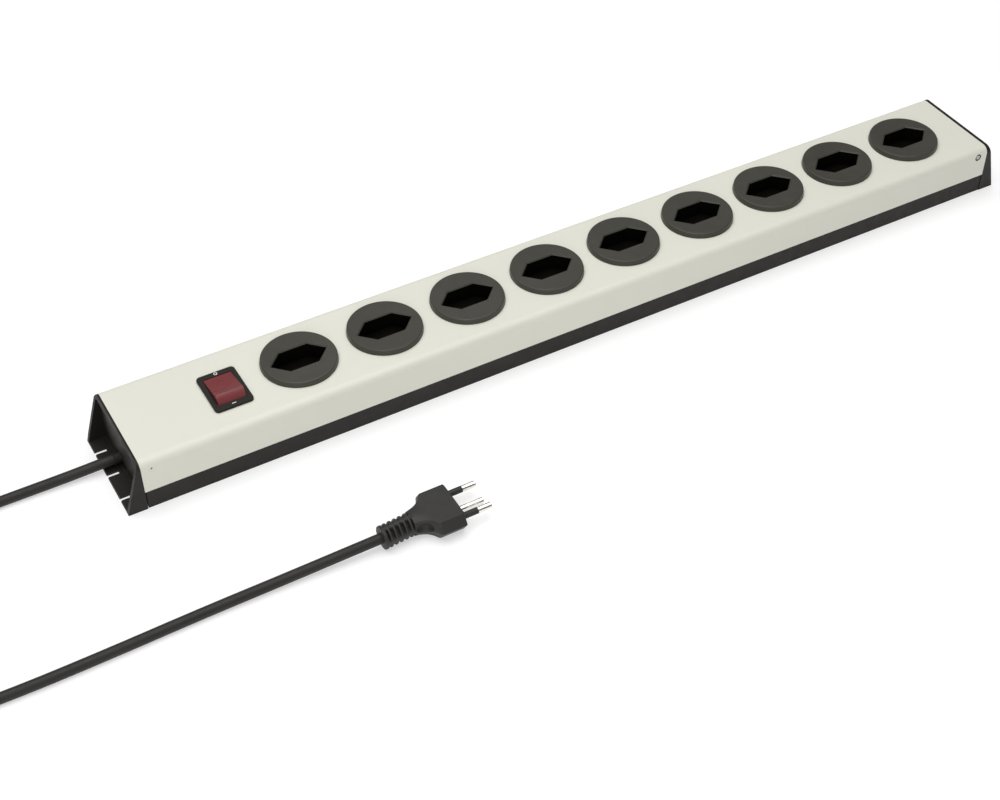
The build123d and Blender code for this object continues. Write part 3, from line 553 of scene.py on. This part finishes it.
def painted_screws():
    """At the lead end the heads are flush and painted over; the small cross is a flat black mark laid on the head,
    painted shade standing for the hollow of its recess.
    """
    for sy, word in ((-1, "front"), (1, "back")):
        disc = [(-301.0 + 2.47 * math.cos(2 * math.pi * i / 40), 30.0 + 2.47 * math.sin(2 * math.pi * i / 40))
                for i in range(40)]
        bm = prism(disc, sy * 34.15, sy * 34.96, "y")
        me = bpy.data.meshes.new("screw_" + word)
        bm.to_mesh(me)
        bm.free()
        ob = link("screw_" + word, me, paint)
        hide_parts("cover_screws")
        smooth_by_angle(me, 30)
        # painted shade: a thin black cross on the painted head in place of the shaded recess
        a_, b_ = 0.62, 0.2
        cross = [(a_, b_), (b_, b_), (b_, a_), (-b_, a_), (-b_, b_), (-a_, b_), (-a_, -b_), (-b_, -b_), (-b_, -a_),
                 (b_, -a_), (b_, -b_), (a_, -b_)]
        bm = prism([(x - 301.0, z + 30.0) for x, z in cross], sy * 34.9, sy * 34.99, "y")
        me = bpy.data.meshes.new("screw_cross_shade_" + word)
        bm.to_mesh(me)
        bm.free()
        ob = link("screw_cross_shade_" + word, me, black)


painted_screws()

# ------------------------------------------------------------------ marks on the switch frame
def flat_mark(name, polys):
    bm = bmesh.new()
    for pts in polys:
        low = [bm.verts.new((x * MM, y * MM, 37.68 * MM)) for x, y in pts]
        high = [bm.verts.new((x * MM, y * MM, 37.74 * MM)) for x, y in pts]
        n = len(pts)
        for i in range(n):
            j = (i + 1) % n
            bm.faces.new((low[i], low[j], high[j], high[i]))
        bm.faces.new(list(reversed(low)))
        bm.faces.new(high)
    bmesh.ops.recalc_face_normals(bm, faces=bm.faces)
    me = bpy.data.meshes.new(name)
    bm.to_mesh(me)
    bm.free()
    ob = link(name, me, white_ink)
    return ob


def ring_quads(cx, cy, r0, r1, n=32):
    out = []
    for i in range(n):
        a0, a1 = 2 * math.pi * i / n, 2 * math.pi * (i + 1) / n
        out.append([(cx + r0 * math.cos(a0), cy + r0 * math.sin(a0)), (cx + r1 * math.cos(a0), cy + r1 * math.sin(a0)),
                    (cx + r1 * math.cos(a1), cy + r1 * math.sin(a1)), (cx + r0 * math.cos(a1), cy + r0 * math.sin(a1))])
    return out


flat_mark("mark_off", ring_quads(-242.0, 12.0, 0.7, 1.15))
flat_mark("mark_on", [[(-243.3, -16.5), (-240.7, -16.5), (-240.7, -16.0), (-243.3, -16.0)]])

# ------------------------------------------------------------------ floor and light
floor_mat = bpy.data.materials.new("floor")
floor_mat.use_nodes = True
fb = floor_mat.node_tree.nodes["Principled BSDF"]
fb.inputs["Base Color"].default_value = (0.58, 0.58, 0.58, 1)
fb.inputs["Roughness"].default_value = 0.9
fb.inputs["Emission Color"].default_value = (1, 1, 1, 1)
fb.inputs["Emission Strength"].default_value = 0.48
bm = bmesh.new()
bmesh.ops.create_grid(bm, x_segments=1, y_segments=1, size=8.0)
me = bpy.data.meshes.new("floor")
bm.to_mesh(me)
bm.free()
floor = bpy.data.objects.new("floor", me)
scene.collection.objects.link(floor)
floor.data.materials.append(floor_mat)

world = bpy.data.worlds.new("world")
scene.world = world
world.use_nodes = True
world.node_tree.nodes["Background"].inputs["Color"].default_value = (1, 1, 1, 1)
world.node_tree.nodes["Background"].inputs["Strength"].default_value = 0.2
scene.view_settings.view_transform = "Standard"


def area(name, place, target, size_xy, power, spread=180.0):
    ld = bpy.data.lights.new(name, "AREA")
    ld.shape = "RECTANGLE"
    ld.size, ld.size_y = size_xy
    ld.energy = power
    ld.spread = math.radians(spread)
    ob = bpy.data.objects.new(name, ld)
    scene.collection.objects.link(ob)
    ob.location = place
    d = Vector(target) - Vector(place)
    ob.rotation_euler = d.to_track_quat("-Z", "Y").to_euler()
    return ob


area("key", (-0.75, -1.1, 0.55), (-0.2, 0, 0.0), (0.5, 0.4), 0.5, spread=70.0)
area("top", (-0.18, 0.1, 1.5), (-0.15, 0.1, 0), (2.0, 2.0), 28.5)
